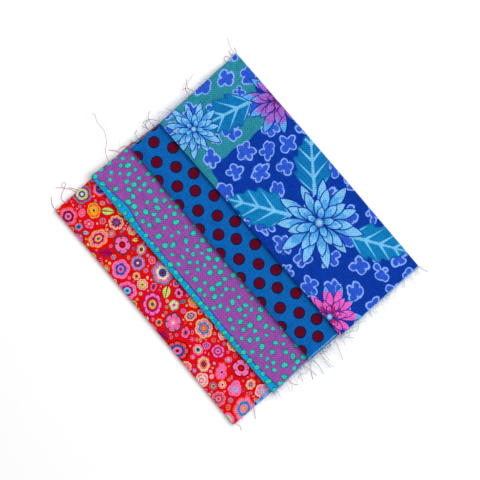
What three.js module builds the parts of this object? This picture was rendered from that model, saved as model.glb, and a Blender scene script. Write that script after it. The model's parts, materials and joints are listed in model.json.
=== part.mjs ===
// A stack of quarter yard cuts of printed quilting cotton: four folded cuts laid flat and fanned, each
// one lying on the cut before it and, past that cut's edge, sinking to the surface.
// Millimetres, +Z up. +X runs across the fan, from the lowest cut to the top one. +Y runs along the
// nine inches between the raw ends. The origin is the middle of the stack's underside.
import * as THREE from "three";

// The cloth. A cut is twelve plies of thin cotton. Here each layer stands for three of them.
const LAYER = 1.0;
const LAYER_GAP = 0.35;
const CUT_GAP = 0.4;
const PITCH = LAYER + LAYER_GAP;
const CUT_THICKNESS = 4 * LAYER + 3 * LAYER_GAP;
const STEP_UP = CUT_THICKNESS + CUT_GAP;

// Past the edge of a lower cut the cloth above it takes this long to sink by one cut's thickness.
const SINK_LENGTH = 36;
const SINK_STEPS = 8;

// The cloth is double, as it comes off the bolt, and the doubled cloth is folded back and forth. The
// bolt fold joins the two top layers, and the selvages lie loose under it. A level counts layers from
// the bottom one up, and a turn is the radius of the mid line from one level round to another.
const LEVEL = { bottom: 0, lower: 1, upper: 2, top: 3 };
const WIDE_TURN = ((LEVEL.top - LEVEL.bottom) / 2) * PITCH;
const TIGHT_TURN = ((LEVEL.upper - LEVEL.lower) / 2) * PITCH;
const WIDE_TURN_STEPS = 8;
const TIGHT_TURN_STEPS = 6;
const UPPER_SELVAGE_INSET = 3.2;
const LOWER_SELVAGE_INSET = 1.8;

// Sections are taken at these many places between the raw ends. A place is a share of the way from the
// near end to the far one.
const STATIONS = 7;
const MIDWAY = 0.5;

// One row for each cut, lowest first. A fold is an x and an end is a y. Near is the raw end at -Y, far
// is the one at +Y. Bow is how far the folds swing out of line in the middle of their length.
const CUTS = [
  {
    name: "red_cut",
    colour: 0xd8262a,
    near: { leftFold: -101.1, rightFold: -14.7, leftEnd: -114.9, rightEnd: -115.8 },
    far: { leftFold: -96.7, rightFold: -11.2, leftEnd: 114.8, rightEnd: 116.2 },
    bow: 0.9,
  },
  {
    name: "purple_cut",
    colour: 0x9a46ae,
    near: { leftFold: -59.0, rightFold: 27.4, leftEnd: -115.6, rightEnd: -112.6 },
    far: { leftFold: -56.0, rightFold: 30.2, leftEnd: 116.7, rightEnd: 112.8 },
    bow: -0.6,
  },
  {
    name: "dotted_cut",
    colour: 0x0763b5,
    near: { leftFold: -18.7, rightFold: 67.8, leftEnd: -113.4, rightEnd: -113.2 },
    far: { leftFold: -16.2, rightFold: 70.0, leftEnd: 112.4, rightEnd: 113.2 },
    bow: -0.5,
  },
  {
    name: "floral_cut",
    colour: 0x1f4fb4,
    near: { leftFold: 14.2, rightFold: 100.0, leftEnd: -116.6, rightEnd: -115.2 },
    far: { leftFold: 15.7, rightFold: 101.0, leftEnd: 112.4, rightEnd: 115.3 },
    bow: 0.6,
  },
];

// A stray thread from the raw end of the red cut, down to the surface and away from the stack. Its
// route was chosen by hand, and its radius is that of a fluffy single yarn.
const THREAD = {
  name: "loose_thread",
  colour: 0xc9a3ab,
  radius: 0.2,
  sides: 8,
  steps: 40,
  route: [
    [-37.1, 116.1, 1.6],
    [-36.8, 118.2, 1.25],
    [-36.2, 120.4, 0.7],
    [-35.4, 122.7, 0.32],
    [-34.1, 125.1, 0.24],
    [-31.8, 127.4, 0.24],
    [-28.6, 129.9, 0.24],
    [-26.5, 133.2, 0.24],
    [-24.5, 136.8, 0.24],
    [-23.5, 140.3, 0.24],
    [-23.6, 144.2, 0.24],
    [-23.4, 147.6, 0.24],
    [-22.3, 150.8, 0.24],
    [-20.9, 153.4, 0.24],
    [-21.2, 155.2, 0.24],
    [-22.5, 155.9, 0.24],
  ],
};

const FABRIC_ROUGHNESS = 0.9;
const mix = THREE.MathUtils.lerp;

// The x of a cut's fold, side being leftFold or rightFold, at share v of the way from near to far.
function foldX(cut, side, v) {
  return mix(cut.near[side], cut.far[side], v) + cut.bow * Math.sin(Math.PI * v);
}

// The y of a point of a cut at a given x and share v.
function alongY(cut, x, v) {
  const left = foldX(cut, "leftFold", v);
  const across = (x - left) / (foldX(cut, "rightFold", v) - left);
  const near = mix(cut.near.leftEnd, cut.near.rightEnd, across);
  const far = mix(cut.far.leftEnd, cut.far.rightEnd, across);
  return mix(near, far, v);
}

// The height of the surface that a cut lies on: a step for each cut below it. Past that cut's edge the
// step sags as a strip does that leaves the edge level and touches down a sink length further on.
function bedHeight(below, x, v) {
  return below.reduce((height, cut) => {
    const past = (x - foldX(cut, "rightFold", v)) / SINK_LENGTH;
    const left = 1 - THREE.MathUtils.clamp(past, 0, 1);
    return height + STEP_UP * (4 * left ** 3 - 3 * left ** 4);
  }, 0);
}

// The places where the bed of a cut bends, as an index of the cut below and a share of the sink length.
// Those too near the cut's own folds are left out.
function bends(cut, below) {
  const from = foldX(cut, "leftFold", MIDWAY) + UPPER_SELVAGE_INSET;
  const to = foldX(cut, "rightFold", MIDWAY) - CUT_THICKNESS;
  const places = [];
  below.forEach((lower, index) => {
    for (let step = 0; step <= SINK_STEPS; step += 1) {
      const share = step / SINK_STEPS;
      const x = foldX(lower, "rightFold", MIDWAY) + share * SINK_LENGTH;
      if (x > from && x < to) places.push([index, share]);
    }
  });
  return places;
}

// A half circle of the fold's mid line in the XZ plane, from one layer to the next.
function turn(x, z, radius, steps, side, rise) {
  const points = [];
  for (let step = 0; step <= steps; step += 1) {
    const angle = -Math.PI / 2 + (Math.PI * step) / steps;
    points.push([x + side * radius * Math.cos(angle), z + rise * radius * Math.sin(angle)]);
  }
  return points;
}

// The mid line of the folded cloth at share v: out along the bottom, round, back along the top, round
// the bolt fold, and out and back once more between the two.
function midLine(cut, below, places, v) {
  const left = foldX(cut, "leftFold", v);
  const right = foldX(cut, "rightFold", v);
  const bed = (x) => bedHeight(below, x, v);
  const bending = places.map(([index, share]) => {
    return foldX(below[index], "rightFold", v) + share * SINK_LENGTH;
  });
  const layer = (level, xs) => xs.map((x) => [x, bed(x) + level * PITCH + LAYER / 2]);
  const backwards = [...bending].reverse();

  const rightCentre = right - WIDE_TURN - LAYER / 2;
  const rightMiddle = bed(rightCentre) + CUT_THICKNESS / 2;
  const boltCentre = left + TIGHT_TURN + LAYER / 2;
  const boltMiddle = bed(boltCentre) + ((LEVEL.upper + LEVEL.top) / 2) * PITCH + LAYER / 2;
  return [
    ...layer(LEVEL.bottom, [left + LOWER_SELVAGE_INSET, ...bending]),
    ...turn(rightCentre, rightMiddle, WIDE_TURN, WIDE_TURN_STEPS, 1, 1),
    ...layer(LEVEL.top, backwards),
    ...turn(boltCentre, boltMiddle, TIGHT_TURN, TIGHT_TURN_STEPS, -1, -1),
    ...layer(LEVEL.upper, bending),
    ...turn(rightCentre, rightMiddle, TIGHT_TURN, TIGHT_TURN_STEPS, 1, -1),
    ...layer(LEVEL.lower, [...backwards, left + UPPER_SELVAGE_INSET]),
  ];
}

// The closed outline of the cloth at share v: the printed face along the mid line, then its back.
function outline(cut, below, places, v) {
  const line = midLine(cut, below, places, v);
  const face = [];
  const back = [];
  line.forEach(([x, z], index) => {
    const before = line[Math.max(index - 1, 0)];
    const after = line[Math.min(index + 1, line.length - 1)];
    const length = Math.hypot(after[0] - before[0], after[1] - before[1]);
    const outX = ((after[1] - before[1]) / length) * (LAYER / 2);
    const outZ = (-(after[0] - before[0]) / length) * (LAYER / 2);
    face.push([x + outX, z + outZ]);
    back.push([x - outX, z - outZ]);
  });
  return [...face, ...back.reverse()].map(([x, z]) => [x, alongY(cut, x, v), z]);
}

// A closed solid through outlines of equally many points. Each outline runs along one side of a strip
// and back along the other, so a raw end is closed by the quads that join the two.
function stripSolid(outlines) {
  const count = outlines[0].length;
  const last = outlines.length - 1;
  const index = [];
  const quad = (a, b, c, d) => index.push(a, b, c, a, c, d);
  for (let station = 0; station < last; station += 1) {
    for (let point = 0; point < count; point += 1) {
      const here = station * count;
      const next = (point + 1) % count;
      quad(here + point, here + count + point, here + count + next, here + next);
    }
  }
  for (let point = 0; point < count / 2 - 1; point += 1) {
    const opposite = count - 1 - point;
    const end = last * count;
    quad(point, point + 1, opposite - 1, opposite);
    quad(end + point, end + opposite, end + opposite - 1, end + point + 1);
  }
  const geometry = new THREE.BufferGeometry();
  geometry.setAttribute("position", new THREE.Float32BufferAttribute(outlines.flat(2), 3));
  geometry.setIndex(index);
  geometry.computeVertexNormals();
  return geometry;
}

function clothMaterial(colour) {
  return new THREE.MeshStandardMaterial({ color: colour, roughness: FABRIC_ROUGHNESS, metalness: 0 });
}

function foldedCut(cut, order) {
  const below = CUTS.slice(0, order);
  const places = bends(cut, below);
  const outlines = [];
  for (let station = 0; station < STATIONS; station += 1) {
    outlines.push(outline(cut, below, places, station / (STATIONS - 1)));
  }
  const mesh = new THREE.Mesh(stripSolid(outlines), clothMaterial(cut.colour));
  mesh.name = cut.name;
  return mesh;
}

function looseThread(thread) {
  const section = new THREE.Shape();
  for (let side = 0; side < thread.sides; side += 1) {
    const angle = (2 * Math.PI * side) / thread.sides;
    const point = [thread.radius * Math.cos(angle), thread.radius * Math.sin(angle)];
    if (side === 0) section.moveTo(...point);
    else section.lineTo(...point);
  }
  section.closePath();
  const points = thread.route.map((point) => new THREE.Vector3(...point));
  const geometry = new THREE.ExtrudeGeometry(section, {
    steps: thread.steps,
    extrudePath: new THREE.CatmullRomCurve3(points),
    bevelEnabled: false,
  });
  const mesh = new THREE.Mesh(geometry, clothMaterial(thread.colour));
  mesh.name = thread.name;
  return mesh;
}

const stack = new THREE.Group();
CUTS.forEach((cut, order) => stack.add(foldedCut(cut, order)));
stack.add(looseThread(THREAD));

export default stack;
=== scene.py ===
# %% [markdown]
# # A stack of quarter yard cuts
# A quarter yard cut is nine inches of quilting cotton off a bolt about 42 inches wide. The shop leaves
# it double, folds it back and forth, and lays the cuts on one another in a fan. This lesson makes four
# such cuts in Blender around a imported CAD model, which holds their real places and sizes. The cloth is
# computed with numpy, the prints are drawn by shader nodes, and nothing is read but the frame.

import json

import bpy
import numpy as np
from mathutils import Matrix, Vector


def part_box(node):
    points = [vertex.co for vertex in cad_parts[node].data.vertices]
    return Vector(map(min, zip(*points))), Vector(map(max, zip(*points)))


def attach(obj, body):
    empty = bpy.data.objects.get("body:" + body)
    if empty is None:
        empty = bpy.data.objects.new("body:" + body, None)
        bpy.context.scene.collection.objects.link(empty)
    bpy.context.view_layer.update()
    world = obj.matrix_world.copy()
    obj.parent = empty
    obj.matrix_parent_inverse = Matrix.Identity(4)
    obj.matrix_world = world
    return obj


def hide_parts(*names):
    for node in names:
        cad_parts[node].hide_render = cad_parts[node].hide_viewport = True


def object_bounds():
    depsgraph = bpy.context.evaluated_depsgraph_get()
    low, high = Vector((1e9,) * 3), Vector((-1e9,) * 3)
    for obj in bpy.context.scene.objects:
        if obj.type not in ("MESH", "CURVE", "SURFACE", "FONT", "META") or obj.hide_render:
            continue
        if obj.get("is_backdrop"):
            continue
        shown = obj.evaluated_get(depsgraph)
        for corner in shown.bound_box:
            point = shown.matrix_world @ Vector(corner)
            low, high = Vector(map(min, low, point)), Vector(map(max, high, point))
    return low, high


MM = 0.001
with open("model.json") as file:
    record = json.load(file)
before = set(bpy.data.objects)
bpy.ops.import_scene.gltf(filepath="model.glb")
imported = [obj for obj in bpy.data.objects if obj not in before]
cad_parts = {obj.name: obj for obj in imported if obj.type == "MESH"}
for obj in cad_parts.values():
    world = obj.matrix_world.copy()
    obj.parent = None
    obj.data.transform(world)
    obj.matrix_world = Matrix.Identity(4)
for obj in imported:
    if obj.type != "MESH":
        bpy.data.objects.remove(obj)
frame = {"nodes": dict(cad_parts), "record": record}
cad_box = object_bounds()
print("nodes in the frame:", sorted(frame["nodes"]))


# %% [markdown]
# ## The camera
# The photo looks straight down on the stack, which lies askew in it: the raw ends run from lower left
# to upper right. A camera that hangs high up with a long lens gives the same flat view, in which the
# top cut looks hardly larger than the lowest one. Its lens follows from the width that the photo
# covers, so the picture's scale is a real size.

# %% Make the camera
PHOTO_WIDTH_MM = 396.0
PHOTO_CENTRE_MM = (2.3, -3.2)
PHOTO_TURN_DEG = -40.8
CAMERA_HEIGHT_MM = 2400.0
MIDDLE_OF_STACK_MM = 8.0
SENSOR_MM = 36.0
VIEW_REACH_MM = 10000.0


def in_scene(name, data):
    """The new object of that name in the scene, for a mesh, a light or a camera."""
    thing = bpy.data.objects.new(name, data)
    bpy.context.scene.collection.objects.link(thing)
    return thing


camera_data = bpy.data.cameras.new("camera_above")
camera_data.sensor_width = SENSOR_MM
camera_data.lens = SENSOR_MM * CAMERA_HEIGHT_MM / PHOTO_WIDTH_MM
camera_data.clip_end = VIEW_REACH_MM * MM
camera = in_scene("camera_above", camera_data)
camera.location = np.array([*PHOTO_CENTRE_MM, CAMERA_HEIGHT_MM + MIDDLE_OF_STACK_MM]) * MM
camera.rotation_euler = (0.0, 0.0, np.radians(PHOTO_TURN_DEG))
bpy.context.scene.camera = camera
print(f"lens {camera_data.lens:.0f} mm for a view {PHOTO_WIDTH_MM:.0f} mm wide")


# %% [markdown]
# ## Meshes from numpy
# Every piece here is a surface over a grid, so one helper turns arrays of points and faces into a
# Blender object. The faces are quads in one array. Smooth and flat faces may meet: Blender keeps the
# edge between them sharp, which suits the cut rim of a cloth.

# %% Turn arrays into a Blender object
def mesh_piece(name, points, quads, smooth=None, material_index=None):
    """The object whose vertices are points, in millimetres, and whose faces are the rows of quads."""
    mesh = bpy.data.meshes.new(name)
    mesh.from_pydata((points.reshape(-1, 3) * MM).tolist(), [], quads.tolist())
    mesh.polygons.foreach_set("use_smooth", np.ones(len(quads), bool) if smooth is None else smooth)
    if material_index is not None:
        mesh.polygons.foreach_set("material_index", material_index)
    piece = in_scene(name, mesh)
    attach(piece, "root")
    return piece


# %% [markdown]
# ## The long loose thread
# One yarn has come out of the raw end of the red cut and wanders away over the table. It is a free end
# of a known length, and its route repeats the points of the CAD model. A thread is a tube along a path:
# at each point of the path a ring stands across the way it runs. All rings of all threads are computed
# at once, so the same function serves the frayed ends later.

# %% Carry a round section along many paths at once
NEARLY_NOTHING = 1e-6


def tubes(name, paths, radius, sides, relief=0.0):
    """Tubes along paths, an array of threads x points x 3, in millimetres.

    The ring at a point is point + radius * (cos a * side + sin a * up), where side is the level
    direction across the path and up is square to both. The radius is a number or an array of
    threads x points, and relief is added to it for each point of each ring.
    """
    along = np.gradient(paths, axis=1)
    along /= np.linalg.norm(along, axis=2, keepdims=True)
    side = np.cross(along, (0.0, 0.0, 1.0))
    side /= np.maximum(np.linalg.norm(side, axis=2, keepdims=True), NEARLY_NOTHING)
    up = np.cross(side, along)
    angle = 2 * np.pi * np.arange(sides) / sides
    size = np.broadcast_to(radius, paths.shape[:2])[..., None] + relief
    across = np.cos(angle)[:, None] * side[:, :, None] + np.sin(angle)[:, None] * up[:, :, None]
    rings = paths[:, :, None] + size[..., None] * across

    threads, count = paths.shape[:2]
    number = np.arange(threads * count * sides).reshape(threads, count, sides)
    turned = np.roll(number, -1, axis=2)
    walls = np.stack([number[:, :-1], number[:, 1:], turned[:, 1:], turned[:, :-1]], axis=-1)
    odd = np.arange(1, sides - 1, 2)
    cap = np.stack([0 * odd, odd, odd + 1, odd + 2], axis=-1)
    starts, ends = number[:, 0][:, cap], number[:, -1][:, cap[:, ::-1]]
    quads = np.concatenate([walls.reshape(-1, 4), starts.reshape(-1, 4), ends.reshape(-1, 4)])
    faces_of_a_yarn = ((count - 1) * sides, len(odd), len(odd))
    yarn = np.concatenate([np.repeat(np.arange(threads), faces) for faces in faces_of_a_yarn])
    piece = mesh_piece(name, rings, quads)
    stored = piece.data.attributes.new("yarn_number", "FLOAT", "FACE")
    stored.data.foreach_set("value", yarn.astype(np.float32))
    return piece


# %% Make the loose thread
THREAD_DIAMETER_MM = 0.4
THREAD_SIDES = 8
THREAD_ROUTE_MM = [
    (-37.1, 116.1, 1.6), (-36.8, 118.2, 1.25), (-36.2, 120.4, 0.7), (-35.4, 122.7, 0.32),
    (-34.1, 125.1, 0.24), (-31.8, 127.4, 0.24), (-28.6, 129.9, 0.24), (-26.5, 133.2, 0.24),
    (-24.5, 136.8, 0.24), (-23.5, 140.3, 0.24), (-23.6, 144.2, 0.24), (-23.4, 147.6, 0.24),
    (-22.3, 150.8, 0.24), (-20.9, 153.4, 0.24), (-21.2, 155.2, 0.24), (-22.5, 155.9, 0.24),
]
STEPS_BETWEEN_POINTS = 12
STRANDS = 2
TWIST_LENGTH_MM = 1.6
TWIST_DEPTH_MM = 0.03


def length_along(points):
    """How far each point lies along the path through all of them."""
    return np.concatenate([[0.0], np.cumsum(np.linalg.norm(np.diff(points, axis=0), axis=1))])


def smooth_path(points, steps):
    """A cardinal spline through points: between two of them p(t) is the cubic whose end slopes are half
    the way from the point before to the point after."""
    points = np.array(points)
    slopes = np.gradient(points, axis=0)
    t = np.linspace(0.0, 1.0, steps, endpoint=False)[:, None, None]
    a, b, da, db = points[:-1], points[1:], slopes[:-1], slopes[1:]
    curve = (
        (2 * t**3 - 3 * t**2 + 1) * a
        + (t**3 - 2 * t**2 + t) * da
        + (3 * t**2 - 2 * t**3) * b
        + (t**3 - t**2) * db
    )
    return np.concatenate([curve.transpose(1, 0, 2).reshape(-1, 3), points[-1:]])


thread_path = smooth_path(THREAD_ROUTE_MM, STEPS_BETWEEN_POINTS)
run_mm = length_along(thread_path)
ring_angle = 2 * np.pi * np.arange(THREAD_SIDES) / THREAD_SIDES
twist = np.cos(STRANDS * (ring_angle - 2 * np.pi * run_mm[:, None] / TWIST_LENGTH_MM))
loose_thread = tubes(
    "loose_thread_tube",
    thread_path[None],
    THREAD_DIAMETER_MM / 2,
    THREAD_SIDES,
    relief=TWIST_DEPTH_MM * (twist[None] - 1.0) / 2,
)
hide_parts("loose_thread")
tuple(thread_path[0] * MM)
run_mm[-1] * MM
THREAD_DIAMETER_MM * MM
[tuple(point) for point in thread_path * MM]
print(f"loose thread: {run_mm[-1]:.1f} mm long")


# %% [markdown]
# ## The cloth as one strip, folded back and forth
# A cut is one strip of cloth, about 1.02 m long and 0.229 m wide, with two selvages. It comes off the
# bolt double, is folded in thirds and then in half, which makes twelve plies. Followed from selvage to
# selvage the strip runs through the plies in the order of PLY_ORDER, turning at the right and at the
# left by turns. All six turns at the right lie in one another and make the round fold there. At the
# left, the bolt fold joins the two top plies, and two pairs of tighter turns lie behind it.
#
# It could be simulated, but a simulation of twelve touching plies is slow and never lies this neatly. A
# formula does better: a place in the strip gives a place in the section, and that section is carried
# from one raw end to the other.

# %% The sizes of the cloth and the places of the cuts
PLY_ORDER = (8, 5, 4, 9, 12, 1, 2, 11, 10, 3, 6, 7)
PLIES = len(PLY_ORDER)
PLY_MM = 0.3
CUT_HEIGHT_MM = 5.05
STEP_UP_MM = 5.45
SINK_MM = 36.0
LIE_MM = 0.03
PITCH_MM = (CUT_HEIGHT_MM - PLY_MM) / (PLIES - 1)
NINE_INCHES_MM = 228.6
# How far behind the bolt fold each ply turns or ends at the left, for plies 1 to 12.
LEFT_INSET_MM = np.array([0.0, 0.0, 1.1, 1.1, 1.1, 1.1, 3.3, 2.5, 1.7, 1.7, 1.7, 1.7])

# For each cut, lowest first: x of the left and the right fold, y of the raw end at those folds, and how
# far the folds bow. They follow the photo, and are within a millimetre of the solids of the CAD model.
CUTS = {
    "red_cut": {"near": (-101.7, -14.7, -114.9, -115.8), "far": (-97.3, -11.2, 114.6, 116.0), "bow": 0.9},
    "purple_cut": {"near": (-59.6, 27.4, -115.6, -112.6), "far": (-56.6, 30.2, 116.5, 112.8), "bow": -0.6},
    "dotted_cut": {"near": (-18.7, 67.8, -113.4, -113.2), "far": (-16.2, 70.0, 112.4, 113.2), "bow": -0.5},
    "floral_cut": {"near": (13.5, 100.0, -116.6, -115.2), "far": (15.0, 101.0, 112.4, 115.3), "bow": 0.6},
}
ORDER = list(CUTS)
MIDWAY = 0.5


def cut_above(name):
    """The name of the cut that lies on this one, or None for the top one."""
    return dict(zip(ORDER, ORDER[1:])).get(name)


def between(first, last, share):
    """What lies at a share of the way from the first to the last. A share that is called v is one of
    the way from the near raw end to the far one."""
    return first + (last - first) * share


def fold_x(name, side, v):
    """The x of a fold, 0 for the left and 1 for the right one: a straight line that bows a little."""
    cut = CUTS[name]
    return between(cut["near"][side], cut["far"][side], v) + cut["bow"] * np.sin(np.pi * v)


def place_y(name, x, v):
    """The y at share v, between the two raw ends, which slant from the left fold to the right one."""
    cut = CUTS[name]
    left = fold_x(name, 0, v)
    across = (x - left) / (fold_x(name, 1, v) - left)
    near = between(cut["near"][2], cut["near"][3], across)
    far = between(cut["far"][2], cut["far"][3], across)
    return between(near, far, v)


def bed_z(name, x, v):
    """The height that a cut lies at: one step for each cut below. Past that cut's right fold the step
    fades as 4 s^3 - 3 s^4, where s goes from 1 at the fold to 0 a sink length further on."""
    height = LIE_MM + 0.0 * (x + v)
    for lower in ORDER[: ORDER.index(name)]:
        left_over = 1.0 - np.clip((x - fold_x(lower, 1, v)) / SINK_MM, 0.0, 1.0)
        height = height + STEP_UP_MM * (4 * left_over**3 - 3 * left_over**4)
    return height


print(f"{PLIES} plies, {PITCH_MM:.3f} mm from one to the next")


# %% [markdown]
# ## The section of a cut
# The section is a list of columns. Each column is a place in the strip: a share of the way from the
# left fold to the right one plus an offset, a height above what the cut lies on, and its ply. The
# straight runs need columns wherever the bed below can bend, and where the print shows they are close.

# %% Lay out the columns of a section
FOLDED_WIDTH_MM = 86.0
HIDDEN_COLUMN_MM = 6.0
RIGHT_TURN_STEPS = {5.5: 12, 4.5: 8, 3.5: 6, 2.5: 6, 1.5: 4, 0.5: 4}
LEFT_TURN_STEPS = {0.5: 6, 1.5: 8}
LEFT_GROUPS = ((1, 2), (3, 4, 5, 6), (9, 10, 11, 12))
SELVAGE_PLIES = (7, 8)


def side_by_side(*parts):
    """Arrays, and single numbers among them, as the columns of one table."""
    return np.stack(np.broadcast_arrays(*parts), axis=-1)


def ply_height(ply):
    """The middle of a ply above the bed: ply 1 is on top and ply 12 at the bottom."""
    return PLY_MM / 2 + (PLIES - ply) * PITCH_MM


def left_turn(ply):
    """The offset and the height of the centre that a ply turns round at the left."""
    group = next(plies for plies in LEFT_GROUPS if ply in plies)
    outer = (len(group) - 1) / 2 * PITCH_MM + PLY_MM / 2
    return LEFT_INSET_MM[ply - 1] + outer, ply_height(np.mean(group))


def section(width, shown, fine):
    """The columns of the folded strip: share, offset, bed share, bed offset, height, ply, the ply it
    turns into, and how far it has turned.

    shown is how much of the top ply can be seen, from the left fold on, and fine the distance
    between columns there. The place of a column is left + share * width + offset, and its bed is
    taken at the place that the bed share and bed offset give: the centre, for a turn.
    """
    rows = []
    end = CUT_HEIGHT_MM / 2
    for order, ply in enumerate(PLY_ORDER):
        to_right = order % 2 == 0
        start = LEFT_INSET_MM[ply - 1] if ply in SELVAGE_PLIES else left_turn(ply)[0]
        seen = min(shown, width - end) if ply == 1 else width - end
        seen_steps = int(np.ceil((seen - start) / (fine if ply == 1 else HIDDEN_COLUMN_MM)))
        unseen_steps = int(np.ceil((width - end - seen) / HIDDEN_COLUMN_MM))
        unseen = np.linspace(seen, width - end, unseen_steps + 1)[1:]
        places = np.concatenate([np.linspace(start, seen, seen_steps + 1), unseen])
        share = (places - start) / (width - start - end)
        offset = (1 - share) * start - share * end
        run = side_by_side(share, offset, share, offset, ply_height(ply), ply, ply, 0.0)
        rows.append(run if to_right else run[::-1])
        if order == PLIES - 1:
            continue
        following = PLY_ORDER[order + 1]
        radius_plies = abs(following - ply) / 2
        steps = (RIGHT_TURN_STEPS if to_right else LEFT_TURN_STEPS)[radius_plies]
        turned = np.arange(1, steps) / steps
        angle = np.pi * (turned - 0.5) * np.sign(ply - following)
        centre, middle = (-end, end) if to_right else left_turn(ply)
        radius = radius_plies * PITCH_MM
        side, outwards = (1.0, radius) if to_right else (0.0, -radius)
        around, height = centre + outwards * np.cos(angle), middle + radius * np.sin(angle)
        rows.append(side_by_side(side, around, side, centre, height, ply, following, turned))
    return np.concatenate(rows)


trial = section(FOLDED_WIDTH_MM, FOLDED_WIDTH_MM, HIDDEN_COLUMN_MM)
print(f"a coarse section has {len(trial)} columns")


# %% [markdown]
# ## What makes it look like cloth
# A neat section alone would look like plastic. Real plies stand a little out of line at the raw ends,
# so narrow slivers of other plies show. The folds are softer than the middle, because fewer plies reach
# them. Long shallow troughs run through the stack, and the raw ends lift. Each of these is a small
# term added to the place or the height, with sizes set from what the photo shows.

# %% Set how uneven each cut is
# A trough or ridge: distance from the left fold and from the middle of the length, direction in
# degrees from across to along, half its length, half its width, and its height (less than 0: a trough).
CREASES = {
    "red_cut": [
        (20.0, -60.0, 80.0, 55.0, 7.0, -0.45),
        (9.0, 45.0, 95.0, 50.0, 6.0, -0.35),
        (34.0, 70.0, 60.0, 30.0, 8.0, -0.4),
    ],
    "purple_cut": [
        (14.0, 30.0, 86.0, 70.0, 7.0, -0.4),
        (26.0, -70.0, 70.0, 40.0, 8.0, -0.45),
        (8.0, -30.0, 100.0, 30.0, 5.0, -0.3),
    ],
    "dotted_cut": [
        (12.0, 70.0, 84.0, 40.0, 6.0, -0.4),
        (20.0, -20.0, 95.0, 60.0, 7.0, -0.4),
        (24.0, -96.0, 30.0, 22.0, 6.0, -0.45),
    ],
    "floral_cut": [
        (24.0, 56.0, 78.0, 62.0, 9.0, -0.55),
        (50.0, -20.0, 98.0, 70.0, 10.0, -0.5),
        (66.0, 84.0, 50.0, 34.0, 10.0, -0.5),
        (30.0, -84.0, 35.0, 30.0, 8.0, -0.45),
        (74.0, -76.0, 110.0, 40.0, 8.0, -0.4),
    ],
}
# How far the raw ends of a ply stand out past those of the top ply, in mm, at the left fold and at the
# right one: ply, near left, near right, far left, far right. The other plies are drawn by chance.
SLIVERS = {
    "red_cut": [(2, -2.4, -3.4, -0.4, -0.3), (3, 0.4, -1.0, -0.5, -0.5), (12, 0.0, -1.3, -0.6, 0.2)],
    "purple_cut": [(2, 1.2, 1.3, -0.2, 0.1), (3, 0.3, 0.9, 0.2, 0.2)],
    "dotted_cut": [(2, 1.1, 1.2, -0.3, -0.2), (3, 2.1, 2.3, -0.2, 0.1)],
    "floral_cut": [(2, 0.5, 1.0, -0.2, 0.3), (3, 0.1, 1.2, 0.4, 0.2), (12, 0.3, 0.2, 0.5, 0.4)],
}
SLIVER_RANGE_MM = (-1.1, 0.5)
# The top ply of the red cut was cut short at its near end: from which x on, over what length, how much.
CUT_SHORT_MM = {"red_cut": (-80.0, 4.0, 3.0)}
FOLD_DROOP_MM = {"left": 0.8, "right": 0.5}
DROOP_LENGTH_MM = {"left": 2.4, "right": 4.0}
END_LIFT_MM = 0.55
END_LIFT_LENGTH_MM = 7.0
EDGE_WAVE_MM = 0.16
EDGE_WAVE_LENGTH_MM = 5.0
INSET_WAVE_MM = 0.5
COVERED_MARGIN_MM = 5.0
# The lengths of the waves in the insets at the left, in the lift of the raw ends and in their edges.
INSET_WAVES_MM = (190.0, 83.0, 47.0)
LIFT_WAVES_MM = {"near": (61.0, 34.0, 23.0), "far": (70.0, 39.0, 26.0)}
EDGE_WAVES_MM = {"near": (37.0, 17.0, 9.0), "far": (41.0, 19.0, 8.0)}


def waves(rng, at, lengths):
    """A sum of sines of the given wavelengths with phases drawn by chance, between -1 and 1."""
    phases = rng.uniform(0.0, 2 * np.pi, len(lengths))
    return sum(np.sin(2 * np.pi * at / n + phase) for n, phase in zip(lengths, phases)) / len(lengths)


def crease_height(name, across, along):
    """The sum of the creases: each is height * exp(-(p / length)^2 - (q / width)^2), where p runs
    along it and q across it."""
    total = 0.0
    for x, y, turn, length, width, height in CREASES[name]:
        turn = np.radians(turn)
        p = (across - x) * np.cos(turn) + (along - y) * np.sin(turn)
        q = (along - y) * np.cos(turn) - (across - x) * np.sin(turn)
        total = total + height * np.exp(-((p / length) ** 2) - (q / width) ** 2)
    return total


def ply_reach(name, rng):
    """For each ply four lengths, as in SLIVERS, drawn by chance and then given where they show."""
    reach = rng.uniform(*SLIVER_RANGE_MM, (PLIES, 4))
    reach[0] = 0.0
    for ply, *set_by_hand in SLIVERS[name]:
        reach[ply - 1] = set_by_hand
    return reach


print("creases set by hand:", sum(len(rows) for rows in CREASES.values()))


# %% [markdown]
# ## From the section to the sheet
# The middle surface of the cloth is a grid, columns of the section by rows from raw end to raw end. Its
# printed face and its back lie half a ply to either side, along the section's own normal, and four
# narrow rims close the two raw ends and the two selvages. The UV map holds millimetres of flat cloth: u
# runs from the bolt fold over the top ply, and on round the folds, and w runs along the nine inches. So
# a print drawn on (u, w) goes round each fold as it does on real cloth.

# %% Compute the cloth and build its sheet
ROW_MM = 1.45
CLOSE_ROWS_MM = np.array([0.0, 0.35, 0.8, 1.4, 2.2, 3.3])
PRINTED, REVERSE = 0, 1
SHOWN_MARGIN_MM = 3.0
FLAT_CLOTH = "flat_cloth_mm"
FIRST_CLOTH_SEED = 11
FINE_COLUMN_MM = {"red_cut": 0.9, "purple_cut": 1.2, "dotted_cut": 1.2, "floral_cut": 1.5}
# The plies that turn together at the left, so that one wavering inset moves them all.
FOLD_GROUP = np.array([0, 0, 2, 2, 2, 2, 6, 7, 8, 8, 8, 8])


def row_shares():
    """The shares of the rows: even steps, and closer ones at the two raw ends."""
    first = CLOSE_ROWS_MM[-1] / NINE_INCHES_MM
    count = int(np.ceil((1 - 2 * first) * NINE_INCHES_MM / ROW_MM))
    middle = np.linspace(first, 1 - first, count + 1)
    ends = CLOSE_ROWS_MM[:-1] / NINE_INCHES_MM
    return np.concatenate([ends, middle, 1 - ends[::-1]])


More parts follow.
